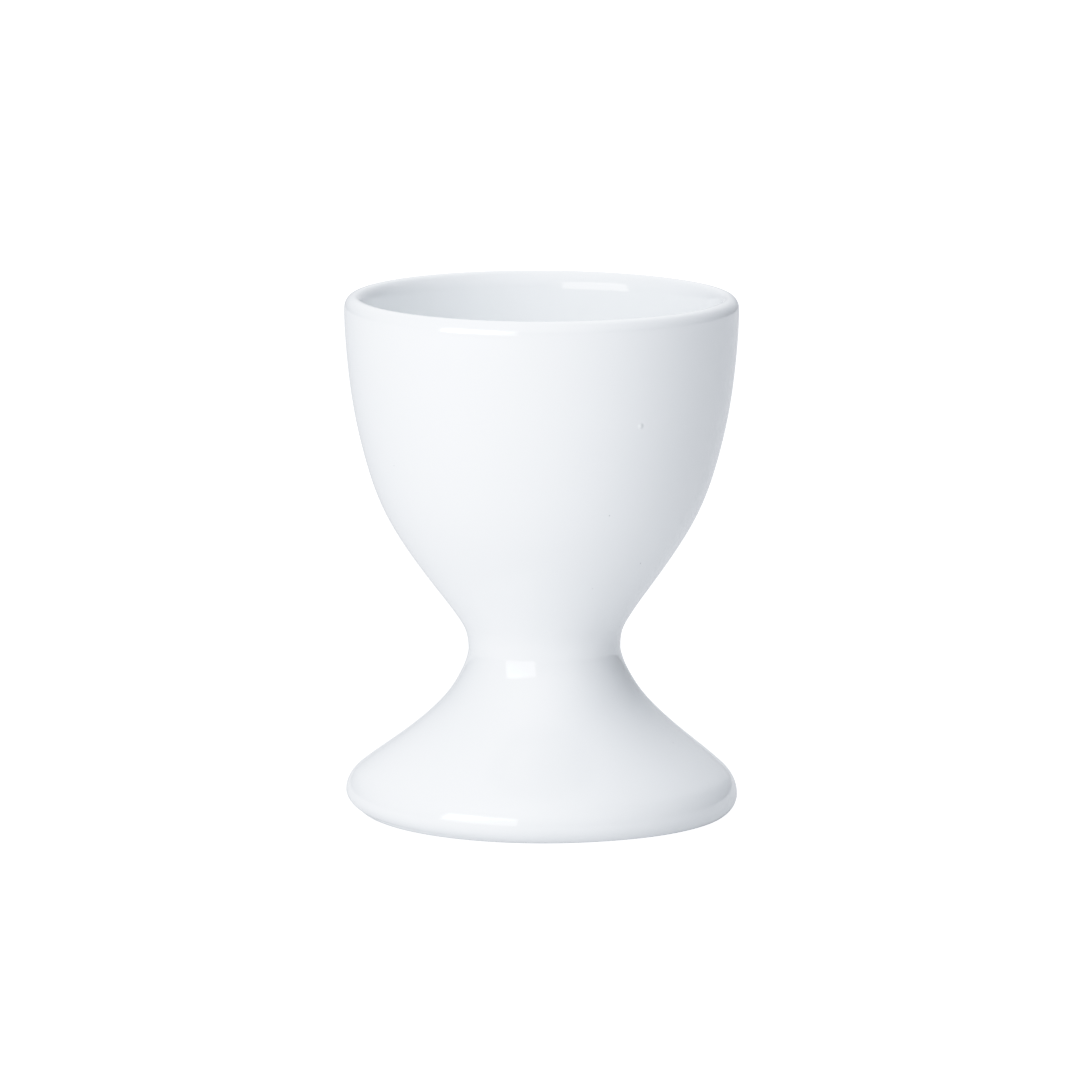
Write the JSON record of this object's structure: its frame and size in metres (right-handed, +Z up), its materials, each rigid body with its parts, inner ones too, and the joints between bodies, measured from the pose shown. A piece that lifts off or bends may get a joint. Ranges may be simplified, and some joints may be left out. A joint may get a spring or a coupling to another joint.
{
  "type": "egg cup",
  "caption": "Footed egg cup: a thick-walled round bowl, open at the top, on a narrow waist and a wide hollow foot, in white glazed porcelain.",
  "frame": {"origin": "centre of the flat ring the cup stands on, on the table", "axes": "+Z up along the cup's own axis; +X to the viewer's right and -Y towards the viewer in the source view"},
  "size_m": [0.0484, 0.0484, 0.064],
  "materials": {
    "glazed_porcelain": "clear high-gloss glaze over a cool white porcelain body"
  },
  "bodies": {
    "root": {"bowl": "glazed_porcelain", "pedestal_foot": "glazed_porcelain"}
  },
  "joints": []
}
